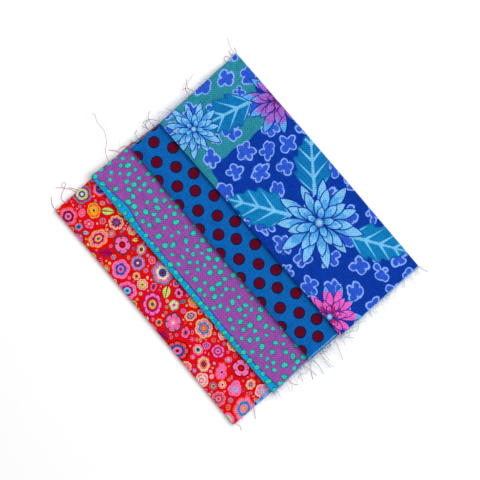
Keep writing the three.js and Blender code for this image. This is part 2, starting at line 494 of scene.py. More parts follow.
def cloth_surface(name, columns, rng):
    """The middle surface of a cut, columns x rows x 3, in millimetres.

    The height is bed + height in the section * (1 + loft / thickness). The loft is the sum of the
    creases, the droop at each fold, - droop * exp(-distance / length), and the lift of the raw ends,
    lift * exp(-(distance / length)^2), where no other cut lies on this one.
    """
    v = row_shares()
    share, offset, bed_share, bed_offset, height, ply, following, turned = columns.T[..., None]
    ply, following = ply[:, 0].astype(int) - 1, following[:, 0].astype(int) - 1
    left, right = fold_x(name, 0, v), fold_x(name, 1, v)
    from_end = {"near": v * NINE_INCHES_MM, "far": (1 - v) * NINE_INCHES_MM}

    behind = np.array([1 + waves(rng, from_end["near"], INSET_WAVES_MM) for _ in range(PLIES)])
    shift = (1 - share) * INSET_WAVE_MM * behind[FOLD_GROUP[ply]]
    shift[FOLD_GROUP[ply] == 0] = 0.0
    x = between(left, right, share) + offset + shift
    bed_x = between(left, right, bed_share) + bed_offset + shift

    above = cut_above(name)
    edge = fold_x(above, 0, v) if above else right + 2 * COVERED_MARGIN_MM
    bare = np.clip((edge - x) / COVERED_MARGIN_MM - 1.0, 0.0, 1.0)
    loft = crease_height(name, x - left, from_end["near"] - NINE_INCHES_MM / 2)
    for side, distance in {"left": x - left, "right": right - x}.items():
        loft = loft - FOLD_DROOP_MM[side] * np.exp(-distance / DROOP_LENGTH_MM[side])
    for end, distance in from_end.items():
        lift = END_LIFT_MM * bare * (1.0 + waves(rng, x, LIFT_WAVES_MM[end]))
        loft = loft + lift * np.exp(-((distance / END_LIFT_LENGTH_MM) ** 2))
    z = bed_z(name, bed_x, v) + height * (1 + loft / CUT_HEIGHT_MM)

    reach = ply_reach(name, rng)
    here = between(reach[ply], reach[following], turned)
    stands_out = {
        "near": between(here[:, :1], here[:, 1:2], share),
        "far": between(here[:, 2:3], here[:, 3:], share),
    }
    if name in CUT_SHORT_MM:
        start, length, amount = CUT_SHORT_MM[name]
        grown = np.clip((x - start) / length, 0.0, 1.0)
        top_ply = np.maximum(1.0 - np.abs(ply[:, None] + turned), 0.0)
        stands_out["near"] = stands_out["near"] - amount * top_ply * grown**2 * (3 - 2 * grown)
    y = place_y(name, x, v)
    for end, moved_by in (("near", v - 1), ("far", v)):
        wave = EDGE_WAVE_MM * waves(rng, x, EDGE_WAVES_MM[end])
        y = y + stands_out[end] * moved_by + wave * np.exp(-from_end[end] / EDGE_WAVE_LENGTH_MM)
    return np.stack([x, y, z], axis=-1)


def shell(surface):
    """The closed skin of the cloth: its vertices, its quads, and the part that each quad belongs to: 0
    for the printed face, 1 for the back, and more for the rims.

    The normal of the section is the way along it turned a quarter to the right, (dz, -dx) over its
    length, and the printed face and the back are middle + and - half a ply times that normal.
    """
    way = np.gradient(surface[..., [0, 2]], axis=0)
    way /= np.linalg.norm(way, axis=-1, keepdims=True)
    normal = np.stack([way[..., 1], 0 * way[..., 0], -way[..., 0]], axis=-1)
    points = np.stack([surface + normal * PLY_MM / 2, surface - normal * PLY_MM / 2])
    front, back = np.arange(points[..., 0].size).reshape(points.shape[:3])
    rings = [
        (front[:-1, :-1], front[:-1, 1:], front[1:, 1:], front[1:, :-1]),
        (back[:-1, :-1], back[1:, :-1], back[1:, 1:], back[:-1, 1:]),
        (front[:-1, 0], front[1:, 0], back[1:, 0], back[:-1, 0]),
        (front[:-1, -1], back[:-1, -1], back[1:, -1], front[1:, -1]),
        (front[0, :-1], back[0, :-1], back[0, 1:], front[0, 1:]),
        (front[-1, :-1], front[-1, 1:], back[-1, 1:], back[-1, :-1]),
    ]
    quads = [np.stack(ring, axis=-1).reshape(-1, 4) for ring in rings]
    part = np.repeat(np.arange(len(quads)), [len(q) for q in quads])
    return points, np.concatenate(quads), part


def make_cut(name, fine, seed):
    """Builds a cut's sheet from its section, with its UV map in millimetres of flat cloth."""
    rng = np.random.default_rng(seed)
    left, right = fold_x(name, 0, MIDWAY), fold_x(name, 1, MIDWAY)
    above = cut_above(name)
    shown = fold_x(above, 0, MIDWAY) - left + SHOWN_MARGIN_MM if above else right - left
    columns = section(right - left, shown, fine)
    surface = cloth_surface(name, columns, rng)

    middle_row = surface[:, surface.shape[1] // 2]
    travelled = length_along(middle_row[:, [0, 2]])
    ply, following = columns.T[5:7]
    bolt_fold = np.flatnonzero((ply == 1) & (following == 2))
    u = travelled[bolt_fold[len(bolt_fold) // 2]] - travelled
    w = (row_shares() - MIDWAY) * NINE_INCHES_MM

    points, quads, part = shell(surface)
    cut = mesh_piece(
        name + "_cloth",
        points,
        quads,
        smooth=part <= REVERSE,
        material_index=np.where(part == PRINTED, PRINTED, REVERSE),
    )
    flat = side_by_side(u[:, None], w)
    flat = np.stack([flat, flat]).reshape(-1, 2)[quads.reshape(-1)]
    cut.data.uv_layers.new(name=FLAT_CLOTH).data.foreach_set("uv", flat.reshape(-1))
    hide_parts(name)
    print(f"{name}: {len(quads) * 2} triangles, {travelled[-1]:.0f} mm from selvage to selvage")
    return {"piece": cut, "surface": surface, "flat": flat.reshape(-1, 4, 2), "length": travelled[-1]}


made = {
    name: make_cut(name, fine, seed)
    for seed, (name, fine) in enumerate(FINE_COLUMN_MM.items(), start=FIRST_CLOTH_SEED)
}
for name, cut in made.items():
    cad_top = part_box(name)[1].z / MM
    print(f"{name}: top {cut['surface'][..., 2].max():.2f} mm, in the CAD model {cad_top:.2f} mm")


# %% [markdown]
# ## Printed motifs that stay crisp
# A printed cloth has hundreds of motifs, too many to draw one by one with nodes. Here numpy lays them
# out on the flat cloth, and every face of the mesh learns where it lies in the two motifs nearest to it.
# These places are stored at the corners of the face, in shares of the motif's radius and turned as the
# motif is. Across one face they change evenly, so the shader gets an exact place in the motif at each
# point, and can draw one motif by a formula, as sharp as one likes, wherever the motif occurs.

# %% Lay motifs out and store them on a cut
TRIES = 6000
FACES_AT_A_TIME = 3000


def scatter(rng, sizes, gap, window, wrap, kept=()):
    """Circles that keep clear of one another, as rows of x, y, radius: for each radius, places are drawn
    by chance in the window and kept where distance > radius + other radius + gap, until count of them
    are found or the tries run out. Across, the window repeats every wrap millimetres. Circles that are
    there already may be given as kept."""
    low, high = np.array(window[0]), np.array(window[1])
    kept = np.reshape(kept, (-1, 3))
    for radius, count in sizes:
        found = 0
        for place in rng.uniform(low, high, (TRIES, 2)):
            apart = kept[:, :2] - place
            apart[:, 0] -= wrap * np.round(apart[:, 0] / wrap)
            if np.all(np.hypot(*apart.T) > kept[:, 2] + radius + gap):
                kept = np.concatenate([kept, [[*place, radius]]])
                found += 1
            if found == count:
                break
    return kept


def motif_rows(rng, circles, stretch):
    """Motifs for circles: x, y, radius across, radius along, turn, number. The radii are radius * s
    and radius / s with s drawn from stretch, the turn is any, and the number is from 0 to 1."""
    count = len(circles)
    s = rng.uniform(*stretch, count)
    turn, number = rng.uniform(0.0, 2 * np.pi, count), rng.random(count)
    return np.column_stack([circles[:, :2], circles[:, 2] * s, circles[:, 2] / s, turn, number])


def in_motif(points, motifs, shift):
    """The places of points in motifs: the difference of the two, shifted across by whole repeats, turned
    back by the turn of the motif, and divided by its radii."""
    middle_x, middle_y, radius_x, radius_y, turn = np.moveaxis(motifs[..., :5], -1, 0)
    across, along = points[..., 0] - middle_x - shift, points[..., 1] - middle_y
    x = (np.cos(turn) * across + np.sin(turn) * along) / radius_x
    y = (np.cos(turn) * along - np.sin(turn) * across) / radius_y
    return x, y


def store_motifs(name, layer, motifs, wrap, nearest_few=2):
    """Stores at the corners of each face its place in the motifs whose edges are nearest to its middle,
    where the edge is (distance in shares of the radius - 1) * the mean of the two radii away."""
    cut = made[name]
    flat = cut["flat"]
    middle = flat.mean(axis=1)
    nearest = np.empty((len(flat), nearest_few), int)
    for block in np.array_split(np.arange(len(flat)), len(flat) // FACES_AT_A_TIME + 1):
        shift = wrap * np.round((middle[block, None, 0] - motifs[:, 0]) / wrap)
        x, y = in_motif(middle[block, None], motifs, shift)
        edge = (np.hypot(x, y) - 1.0) * np.sqrt(motifs[:, 2] * motifs[:, 3])
        order = np.argpartition(edge, nearest_few - 1, axis=1)[:, :nearest_few]
        by_edge = np.argsort(np.take_along_axis(edge, order, axis=1), axis=1)
        nearest[block] = np.take_along_axis(order, by_edge, axis=1)
    for rank, suffix in zip(range(nearest_few), "ab"):
        motif = motifs[nearest[:, rank], None]
        shift = wrap * np.round((middle[:, None, 0] - motif[..., 0]) / wrap)
        x, y = in_motif(flat, motif, shift)
        place = side_by_side(x, y, motif[..., 5])
        stored = cut["piece"].data.attributes.new(f"{layer}_{suffix}", "FLOAT_VECTOR", "CORNER")
        stored.data.foreach_set("vector", place.astype(np.float32).reshape(-1))
    print(f"{name}: {len(motifs)} motifs in {layer}")


# %% [markdown]
# ## Shader helpers
# One function adds a node: it makes the node's settings and feeds its inputs in order. What it gives
# back can be calculated with, because every operation of the Math node can be called on it by its name:
# r.multiply(2.0).sine() is two more nodes. Two more helpers do what every print is made of: a place in a
# motif, and ink over ink wherever a formula is small enough. Colours are written in sRGB hex, as in a
# paint program, and turned to the linear values that a shader works in.

# %% Add nodes, read colours and print ink over ink
INK_EDGE = 0.03
CHANCE_SEEDS = (3.1, 7.7)


class Value:
    """What a node gives. value.power(2.0) adds a Math node that is set to POWER and has the value and 2.0
    as its inputs. value["Color"] is the output of that name, and a, b, c = value are all of them."""

    def __init__(self, node, output=None):
        self.node = node
        self.output = output or next((each for each in node.outputs if each.enabled), None)

    def __getitem__(self, name):
        return Value(self.node, self.node.outputs[name])

    def __iter__(self):
        return (Value(self.node, output) for output in self.node.outputs)

    def __getattr__(self, operation):
        if operation.startswith("_"):
            raise AttributeError(operation)
        return lambda *feeds: add(self.node.id_data, "Math", self, *feeds, operation=operation.upper())


def add(tree, kind, *feeds, named=None, **settings):
    """Adds a shader node, makes its settings, and feeds its inputs: in order, or by name. A feed is a
    number, a colour or a Value, and None leaves its input as it is."""
    node = tree.nodes.new("ShaderNode" + kind)
    for setting, value in settings.items():
        setattr(node, setting, value)
    inputs = [socket for socket in node.inputs if socket.enabled]
    wanted = list(zip(inputs, feeds))
    wanted += [(node.inputs[name], feed) for name, feed in (named or {}).items()]
    for socket, feed in wanted:
        if isinstance(feed, Value):
            tree.links.new(feed.output, socket)
        elif feed is not None:
            socket.default_value = feed
    return Value(node)


def material(name, looks):
    """A material with one principled shader, whose inputs are what looks(tree) gives by name."""
    made_of = bpy.data.materials.new(name)
    made_of.use_nodes = True
    tree = made_of.node_tree
    tree.nodes.clear()
    add(tree, "OutputMaterial", add(tree, "BsdfPrincipled", named=looks(tree)))
    return made_of


def linear(hex_colour):
    """An sRGB hex colour as linear red, green, blue and 1: c / 12.92 for small c and
    ((c + 0.055) / 1.055) ^ 2.4 for the rest."""
    srgb = np.array([int(hex_colour[i : i + 2], 16) for i in (1, 3, 5)]) / 255
    mixed = np.where(srgb <= 0.04045, srgb / 12.92, ((srgb + 0.055) / 1.055) ** 2.4)
    return (*mixed, 1.0)


def ink(under, colour, distance, edge, blur=INK_EDGE):
    """A colour over what is there, wherever distance < edge. Its share falls from 1 to 0 as distance
    goes from edge - blur to edge + blur."""
    tree = distance.node.id_data
    share = add(tree, "MapRange", distance, edge - blur, edge + blur, 1.0, 0.0)
    colour = linear(colour) if isinstance(colour, str) else colour
    return add(tree, "Mix", share, under, colour, data_type="RGBA")


def colour_steps(at, stops):
    """The colour for a number from 0 to 1: the colour of each stop holds from its place to the next."""
    colours = add(at.node.id_data, "ValToRGB", at)
    ramp = colours.node.color_ramp
    ramp.interpolation = "CONSTANT"
    for place, colour in stops:
        ramp.elements.new(place).color = linear(colour)
    ramp.elements.remove(ramp.elements[0])
    ramp.elements.remove(ramp.elements[-1])
    return colours


def one_of(chance, colours):
    """One of the colours, all with the same chance."""
    return colour_steps(chance, [(i / len(colours), c) for i, c in enumerate(colours)])


def motif_place(tree, attribute):
    """Where a point lies in its motif: x, y, the distance from the middle, the direction in radians,
    the motif's number, and six numbers from 0 to 1 that are the motif's own."""
    x, y, number = add(tree, "SeparateXYZ", add(tree, "Attribute", attribute_name=attribute)["Vector"])
    chances = []
    for seed in CHANCE_SEEDS:
        drawn = add(tree, "TexWhiteNoise", number.add(seed), noise_dimensions="1D")
        chances += add(tree, "SeparateColor", drawn["Color"])
    return {
        "x": x,
        "y": y,
        "number": number,
        "from_middle": add(tree, "VectorMath", add(tree, "CombineXYZ", x, y, 0.0), operation="LENGTH"),
        "direction": y.arctan2(x),
        "chances": chances,
    }


# %% [markdown]
# ## Quilting cotton
# The cloth is cotton in plain weave with about 28 threads to the centimetre, printed on one face. It is
# matt: it has no clear highlight at all, only a faint bloom where one looks along it. Its threads are
# 0.35 mm apart, finer than a pixel of the render, so the weave is drawn about three times as coarse,
# which leaves the fine grain that the photo shows. The grain is a bump, plus painted shade in the colour
# that is darker in the hollows of the weave. Thick places in single yarns, slubs, run along both ways.
# The back of a printed cotton is pale, because the ink soaks only part of the way through.

# %% The cloth that every print goes on
THREAD_SPACING_MM = 1.15
SLUB_LENGTH_MM = 9.0
WEAVE_DEPTH_MM = 0.1
# How far the weave's painted shade scales the colour, from the hollows to the tops of the yarns.
WEAVE_PAINTED_SHADE = (0.47, 1.14)
CROSSING_SHARE = 0.4
YARN_RANGE = 0.6
REVERSE_FADE = 0.78


def cotton(name, printed, pale=None):
    """A material for one face of a printed cotton. printed(tree, flat) draws the colours of the print,
    and flat is the place on the flat cloth in millimetres. The reverse fades to a pale colour."""

    def looks(tree):
        flat = add(tree, "UVMap", uv_map=FLAT_CLOTH)
        colour = printed(tree, flat)
        if pale:
            colour = add(tree, "Mix", REVERSE_FADE, colour, linear(pale), data_type="RGBA")

        # Over and under: sin(pi u / spacing) * sin(pi w / spacing) is 1 or -1 where the yarns cross.
        u, w, _ = add(tree, "SeparateXYZ", flat)
        rate = np.pi / THREAD_SPACING_MM
        crossings = u.multiply(rate).sine().multiply(w.multiply(rate).sine())
        thin, long = 1 / THREAD_SPACING_MM, 1 / SLUB_LENGTH_MM
        weft_slubs, warp_slubs = [
            add(tree, "TexNoise", add(tree, "Mapping", flat, named={"Scale": scale}), 1.0, 1.0)
            for scale in ((thin, long, 1.0), (long, thin, 1.0))
        ]
        yarns = crossings.multiply_add(CROSSING_SHARE, weft_slubs.add(warp_slubs))
        # Painted shade: the colour is scaled by the weave, darker in the hollows where the yarns cross and
        # lighter on them. The slubs also vary the yarns' own tone. On average this darkens the ink by about
        # a fifth.
        shade = add(tree, "MapRange", yarns, 1 - YARN_RANGE, 1 + YARN_RANGE, *WEAVE_PAINTED_SHADE)
        return {
            "Base Color": add(tree, "VectorMath", colour, operation="SCALE", named={"Scale": shade}),
            "Roughness": 0.92,
            "Specular IOR Level": 0.06,
            "Sheen Weight": 0.05,
            "Sheen Roughness": 0.5,
            "Normal": add(tree, "Bump", 1.0, WEAVE_DEPTH_MM * MM, None, yarns),
        }

    return material(name, looks)


def dress(name, printed, pale):
    """Gives a cut the printed material on its face, and the faded one on its back and its rims."""
    cloth = made[name]["piece"]
    cloth.data.materials.append(cotton(name + "_printed_cotton", printed))
    cloth.data.materials.append(cotton(name + "_reverse_of_cotton", printed, pale))
    slot = frame["record"]["materials"][ORDER.index(name)]["slot"]
    print(name, "takes the finish of", slot)


# %% [markdown]
# ## The dotted print
# Maroon dots, 10 mm across, stand on blue in a half drop: every second column is moved by half a step,
# so each dot has six neighbours. The maroon ink overlaps the blue in a thin dark line round the dot.
# The bolt fold halves one column of dots, and the columns bow a little because the cloth was pulled
# when it was folded.

# %% Draw the dotted print
DOT_RADIUS_MM = 5.1
DOT_COLUMN_MM = 9.4
DOT_ROW_MM = 26.45
DOT_START_MM = (-0.9, -0.3)
DOT_COLUMNS = 10
DOT_ROWS = 9
DOT_BOW_MM = 1.2
DOT_STRAY_MM = 0.1
DOT_STRETCH = (0.98, 1.02)
DOT_SEED = 31
OVERLAP_LINE = 0.2
# How far the dots are moved off their places, x and w: for each of four columns, in even rows and in
# odd ones. The print repeats after these.
DOT_SHIFTS_MM = np.array(
    [
        [(0.0, 0.0), (0.0, 0.0)],
        [(0.0, -0.8), (0.0, -0.6)],
        [(-0.3, 0.0), (0.4, -1.2)],
        [(-0.4, -0.4), (-1.0, -1.6)],
    ]
)


def dots_layout(rng):
    """Dots in a half drop: x = start + column * step + bow * cos(pi w / length), and y is a whole row
    in the even columns and half a row less in the odd ones. Each has its shift and strays a little."""
    column, row = np.meshgrid(np.arange(DOT_COLUMNS), np.arange(DOT_ROWS + 1) - DOT_ROWS // 2)
    column, row = column.reshape(-1), row.reshape(-1)
    y = DOT_START_MM[1] + DOT_ROW_MM * (row - 0.5 * (column % 2))
    bow = DOT_BOW_MM * np.cos(np.pi * y / NINE_INCHES_MM)
    x = DOT_START_MM[0] + DOT_COLUMN_MM * column + bow
    places = np.stack([x, y], axis=1) + DOT_SHIFTS_MM[column % len(DOT_SHIFTS_MM), row % 2]
    places += rng.normal(0.0, DOT_STRAY_MM, places.shape)
    radii = np.full((len(x), 1), DOT_RADIUS_MM)
    return motif_rows(rng, np.concatenate([places, radii], axis=1), DOT_STRETCH)


def dotted_print(tree, flat):
    """Maroon ink on blue, with a dark line where the two overlap."""
    from_middle = motif_place(tree, "dots_a")["from_middle"]
    colour = ink(linear("#0763B5"), "#04123C", from_middle, 1.0)
    return ink(colour, "#64001F", from_middle, 1.0 - OVERLAP_LINE)


dots = dots_layout(np.random.default_rng(DOT_SEED))
store_motifs("dotted_cut", "dots", dots, DOT_COLUMNS * DOT_COLUMN_MM, nearest_few=1)
dress("dotted_cut", dotted_print, "#6CC0F6")


# %% [markdown]
# ## The spotted print
# Bands of sky blue, purple and red run along the cloth, parted by a thin navy line, and small mint
# spots with a darker edge lie over all of them. The bolt fold lies in the sky blue band, whose edge
# wanders, so that 2 to 7 mm of it show. The spots are rounded but uneven, 3 to 6 mm across, so each one
# is an ellipse whose outline a noise pushes in and out.

# %% Draw the spotted print
SPOT_SPACING_MM = 5.9
SPOT_COUNT = 420
SPOT_RADIUS_MM = (1.75, 2.85)
SPOT_STRETCH = (0.8, 1.0)
SPOT_EDGE, SPOT_RIM = 1.02, 0.22
SPOT_SEED = 32
SPOT_OUTLINE = (0.75, 1.25)
SPOT_NOISE_PER_MM = 0.5
STRIPE_SPOT_MM = 3.0
STRIPE_SPOT_STEP_MM = 7.8
STRIPE_SPOT_STRAY_MM = 0.9
REPEAT_MM = 96.0
CLOTH_WINDOW_MM = ((-8.0, -122.0), (88.0, 122.0))
BAND_START_MM = -8.0
SKY_BLUE, NAVY_LINE, PURPLE, BAND_RED = "#06A8EA", "#1B3C86", "#9C50AE", "#D8152B"
BANDS_MM = [
    (-8.0, SKY_BLUE),
    (4.0, NAVY_LINE),
    (4.7, PURPLE),
    (46.5, NAVY_LINE),
    (47.2, BAND_RED),
    (79.0, NAVY_LINE),
    (79.7, SKY_BLUE),
]
# Where the edge of the sky blue band swings out or in: place along the cloth, half its length, by how
# much.
BAND_SWINGS_MM = [(77.0, 15.0, 3.2), (-112.0, 14.0, 2.0), (116.0, 10.0, -2.0), (-10.0, 40.0, 0.6)]


def spots_layout(rng):
    """Spots by chance, after one row of them that follows the sky blue band."""
    along = np.arange(CLOTH_WINDOW_MM[0][1], CLOTH_WINDOW_MM[1][1], STRIPE_SPOT_STEP_MM)
    row = side_by_side(STRIPE_SPOT_MM, along, SPOT_SPACING_MM / 2)
    row[:, :2] += rng.uniform(-STRIPE_SPOT_STRAY_MM, STRIPE_SPOT_STRAY_MM, (len(row), 2))
    sizes = [(SPOT_SPACING_MM / 2, SPOT_COUNT)]
    circles = scatter(rng, sizes, 0.0, CLOTH_WINDOW_MM, REPEAT_MM, kept=row)
    circles[:, 2] = rng.uniform(*SPOT_RADIUS_MM, len(circles))
    return motif_rows(rng, circles, SPOT_STRETCH)


def band_place(tree, flat):
    """How far a point is across the bands, from 0 to 1 over one repeat. Each swing moves the edge by
    size * exp(-((w - place) / length)^2)."""
    u, w, _ = add(tree, "SeparateXYZ", flat)
    for place, length, size in BAND_SWINGS_MM:
        off = w.subtract(place).divide(length)
        u = off.multiply(off).multiply(-1.0).exponent().multiply_add(-size, u)
    return u.subtract(BAND_START_MM).floored_modulo(REPEAT_MM).divide(REPEAT_MM)


def spotted_print(tree, flat):
    """The bands, and over them uneven spots with a dark edge."""
    stops = [((at - BAND_START_MM) / REPEAT_MM, band) for at, band in BANDS_MM]
    colour = colour_steps(band_place(tree, flat), stops)
    noise = add(tree, "TexNoise", flat, SPOT_NOISE_PER_MM, 1.0, noise_dimensions="2D")
    uneven = noise.multiply_add(SPOT_OUTLINE[1] - SPOT_OUTLINE[0], SPOT_OUTLINE[0])
    for layer in ("spots_b", "spots_a"):
        out = motif_place(tree, layer)["from_middle"].divide(uneven)
        colour = ink(colour, "#1F5F7C", out, SPOT_EDGE, 2 * INK_EDGE)
        colour = ink(colour, "#28D5B6", out, 1.0 - SPOT_RIM, 2 * INK_EDGE)
    return colour


store_motifs("purple_cut", "spots", spots_layout(np.random.default_rng(SPOT_SEED)), REPEAT_MM)
dress("purple_cut", spotted_print, "#6FB6EC")


# %% [markdown]
# ## The small flower print
# The lowest cut has a dense print of small bright flowers on red. It is a design of this lesson's own:
# round blossoms in eight sizes fill the ground like pebbles, the largest first, and small leaves take
# some of the gaps. A blossom is a rim with five to eight petals, a ring, a heart and an eye, each in a
# colour drawn for that blossom.

# %% Draw the small flower print
GROUND_RED = "#E8060A"
PEBBLES_MM = [(9.6, 10), (8.0, 18), (6.2, 34), (4.6, 50), (3.3, 70), (2.2, 110), (1.4, 150), (0.9, 160)]
PEBBLE_GAP_MM = 0.5
LEAF_SHARE = 0.14
LARGEST_LEAF_MM = 6.0
STRIP_PLY_MM = 90.0
STRIP_FROM_MM = -106.0
STRIP_MARK_MM = 6.0
PINK, ROSE, CORAL, MAGENTA, MAROON = "#F76BB0", "#FF7AB8", "#FF5148", "#B80060", "#8A0010"
YELLOW, LIME, CREAM, NAVY = "#F5B21E", "#D0E07A", "#F5DDB8", "#16306E"
BLUE, TEAL, PALE_BLUE, INK_BLACK = "#1B4FA8", "#0F8FB5", "#6FC8F0", "#123038"
PETAL_COLOURS = [
    PINK, ROSE, CORAL, PINK, LIME, ROSE, MAGENTA, PINK, CORAL, YELLOW, ROSE, PINK, CORAL, PINK
]
RING_COLOURS = [CORAL, CREAM, ROSE, MAGENTA, PINK, MAROON, TEAL, YELLOW, CORAL, ROSE, BLUE, LIME]
HEART_COLOURS = [PINK, MAROON, BLUE, PINK, CORAL, YELLOW, MAROON, PALE_BLUE, ROSE]
EYE_COLOURS = [MAROON, GROUND_RED, BLUE, CREAM, NAVY, YELLOW, PINK]
RIM_COLOURS = [PINK, MAGENTA, INK_BLACK, ROSE, CREAM, TEAL, MAROON, CORAL, YELLOW, PINK, LIME, ROSE]
BLOSSOM_SEED = 33
BLOSSOM_STRETCH, LEAF_STRETCH = (0.88, 1.12), (0.7, 0.8)
# A blossom: its number of petals is drawn from a range and rounded. Then how far its parts reach, and
# how wide the lines between its petals are.
PETAL_NUMBER = (4.6, 8.0)
ROUND_RIM = 0.8
PETAL_EDGE, RING_EDGE, HEART_EDGE, EYE_EDGE = 0.86, 0.62, 0.36, 0.16
PARTING = 0.13
# A leaf: how far along it the formula holds, how much wider it is toward its stalk, the slant, width and
# thinning of its side veins and how far from its edge they end, and the thinning and end of its midrib.
LEAF_END, LEAF_TAPER = 1.5, 0.3
VEIN_SLANT, VEIN_WIDTH, VEIN_THINNING, VEIN_INSET = 1.2, 0.13, 0.14, 0.26
MIDRIB_THINNING, MIDRIB_END = 0.5, 0.86


def small_flower(tree, under, place):
    """A blossom: its rim is at 0.8 + 0.2 * sqrt(|cos(n * direction / 2)|) of the radius, with n from 5
    to 8, and the petals part where |cos| * distance is small."""
    petals, ring, heart, rim, eye, chance = place["chances"]
    r = place["from_middle"]
    count = chance.multiply_add(PETAL_NUMBER[1] - PETAL_NUMBER[0], PETAL_NUMBER[0]).round()
    lobe = place["direction"].multiply(0.5).multiply(count).cosine().absolute()
    out = r.divide(lobe.power(0.5).multiply_add(1 - ROUND_RIM, ROUND_RIM))
    rim_colour = one_of(rim, RIM_COLOURS)
    colour = ink(under, rim_colour, out, 1.0)
    colour = ink(colour, one_of(petals, PETAL_COLOURS), out, PETAL_EDGE)
    colour = ink(colour, rim_colour, lobe.multiply(r), PARTING)
    colour = ink(colour, one_of(ring, RING_COLOURS), out, RING_EDGE)
    colour = ink(colour, one_of(heart, HEART_COLOURS), r, HEART_EDGE)
    colour = ink(colour, one_of(eye, EYE_COLOURS), r, EYE_EDGE)
    return add(tree, "Mix", out.less_than(1.0 + INK_EDGE), under, colour, data_type="RGBA")


def leaf(under, place, fill, outline, veins, line, vein_rate=0.0, lobes=0.0):
    """A pointed oval leaf, from y = -1 at the stalk to 1 at the tip: its half width is
    (1 - y^2) * (1 - 0.3 y). The midrib is where |x| is small, and the side veins are where
    step = rate * y - 1.2 |x| is near a whole number. The edge goes out by lobes * cos(2 pi step). Past
    LEAF_END the y stays as it is there, because the formula would come back to 0 far off."""
    x = place["x"].absolute()
    y = place["y"].maximum(-LEAF_END).minimum(LEAF_END)
    arch = y.multiply(y).multiply_add(-1.0, 1.0)
    distance = x.subtract(arch.multiply(y.multiply_add(-LEAF_TAPER, 1.0)))
    step = y.multiply_add(vein_rate, x.multiply(-VEIN_SLANT))
    if lobes:
        distance = step.multiply(2 * np.pi).cosine().multiply(arch).multiply_add(-lobes, distance)
    colour = ink(under, outline, distance, 0.0, line / 3)
    colour = ink(colour, fill, distance, -line, line / 3)
    if vein_rate:
        side_vein = x.multiply_add(VEIN_THINNING, step.pingpong(0.5)).maximum(distance.add(VEIN_INSET))
        colour = ink(colour, veins, side_vein, VEIN_WIDTH, 0.02)
    midrib = y.multiply_add(MIDRIB_THINNING * line, x)
    midrib = midrib.maximum(y.subtract(MIDRIB_END)).maximum(distance)
    return ink(colour, veins, midrib, line)


def flower_print(tree, flat):
    """Leaves and blossoms on red, and the pale strip that shows at the near end."""
    place = motif_place(tree, "sprigs_a")
    fill = one_of(place["chances"][0], [LIME, TEAL, CREAM, PALE_BLUE, MAGENTA])
    colour = leaf(linear(GROUND_RED), place, fill, INK_BLACK, MAROON, line=0.12)
    for layer in ("blossoms_b", "blossoms_a"):
        colour = small_flower(tree, colour, motif_place(tree, layer))

    # A strip of the lower plies shows at the near end, where w is small. There the print is pale blue,
    # everywhere but on the top ply, whose u runs from 0 to its length.
    u, w, _ = add(tree, "SeparateXYZ", flat)
    below_top = u.subtract(STRIP_PLY_MM / 2).absolute().greater_than(STRIP_PLY_MM / 2)
    in_strip = below_top.multiply(w.less_than(STRIP_FROM_MM))
    marks = add(tree, "TexNoise", u, 1 / STRIP_MARK_MM, 0.0, noise_dimensions="1D")
    strip = colour_steps(marks, [(0.0, "#6EB2F0"), (0.58, "#0F2F86"), (0.62, "#6EB2F0")])
    return add(tree, "Mix", in_strip, colour, strip, data_type="RGBA")


rng = np.random.default_rng(BLOSSOM_SEED)
pebbles = scatter(rng, PEBBLES_MM, PEBBLE_GAP_MM, CLOTH_WINDOW_MM, REPEAT_MM)
as_leaf = (pebbles[:, 2] < LARGEST_LEAF_MM) & (rng.random(len(pebbles)) < LEAF_SHARE)
blossoms = motif_rows(rng, pebbles[~as_leaf], BLOSSOM_STRETCH)
sprigs = motif_rows(rng, pebbles[as_leaf], LEAF_STRETCH)
store_motifs("red_cut", "blossoms", blossoms, REPEAT_MM)
store_motifs("red_cut", "sprigs", sprigs, REPEAT_MM, nearest_few=1)
dress("red_cut", flower_print, "#E8B4BC")


# %% [markdown]
# ## The large flower print
# The top cut has a large print: pale blue, pink and violet dahlias among teal leaves, and small
# periwinkle blossoms on a ground that turns from royal blue to teal green. This layout is the lesson's
# own as well. Each dahlia is four rings of pointed petals, the outer ones drawn first, and a noise
# stretched along the petals makes the ragged brush strokes between their colours.

# %% Draw the large flower print
# Dahlias: u, w, radius, turn in degrees, and 0.5 for a blue, 1.5 for a pink, 2.5 for a violet one.
DAHLIAS = [
    (47.0, -34.0, 40.0, 10.0, 0.5),
    (90.0, 64.0, 33.0, 40.0, 2.5),
    (3.0, -97.0, 29.0, 25.0, 1.5),
    (18.0, 92.0, 26.0, 0.0, 0.6),
]
# Leaves: u and w of the middle, half the width, half the length, and the turn in degrees.
LEAVES = [
    (17.0, 9.0, 15.0, 28.0, 35.0),
    (76.0, 7.0, 15.0, 27.0, -38.0),
    (74.0, -80.0, 14.5, 26.0, -145.0),
    (45.0, 84.0, 14.0, 26.0, 75.0),
]
FLORAL_REPEAT_MM = 156.0
FLORAL_WINDOW_MM = ((-34.0, -122.0), (122.0, 122.0))
PERIWINKLES_MM = [(8.8, 60), (7.9, 60), (7.0, 60), (5.6, 40)]
PERIWINKLE_GAP_MM = 1.0
PERIWINKLE_STRETCH = (0.86, 1.16)
FLORAL_SEED = 34
LOBE_OFF, LOBE_RADIUS, MIDDLE_RADIUS = 0.53, 0.42, 0.54
LOBE_BLEND = 0.1
FOUR_LOBED_SHARE = 0.4
PALE_OUTLINE = 0.13
UNEVEN_EDGE = 0.42
UNEVEN_PER_MM = 0.15
# Four rings of petals: how many, how far they reach, and by how much of a petal they are turned.
PETAL_RINGS = [(11, 1.0, 0.0), (9, 0.78, 0.4), (7, 0.56, 0.15), (5, 0.34, 0.6)]
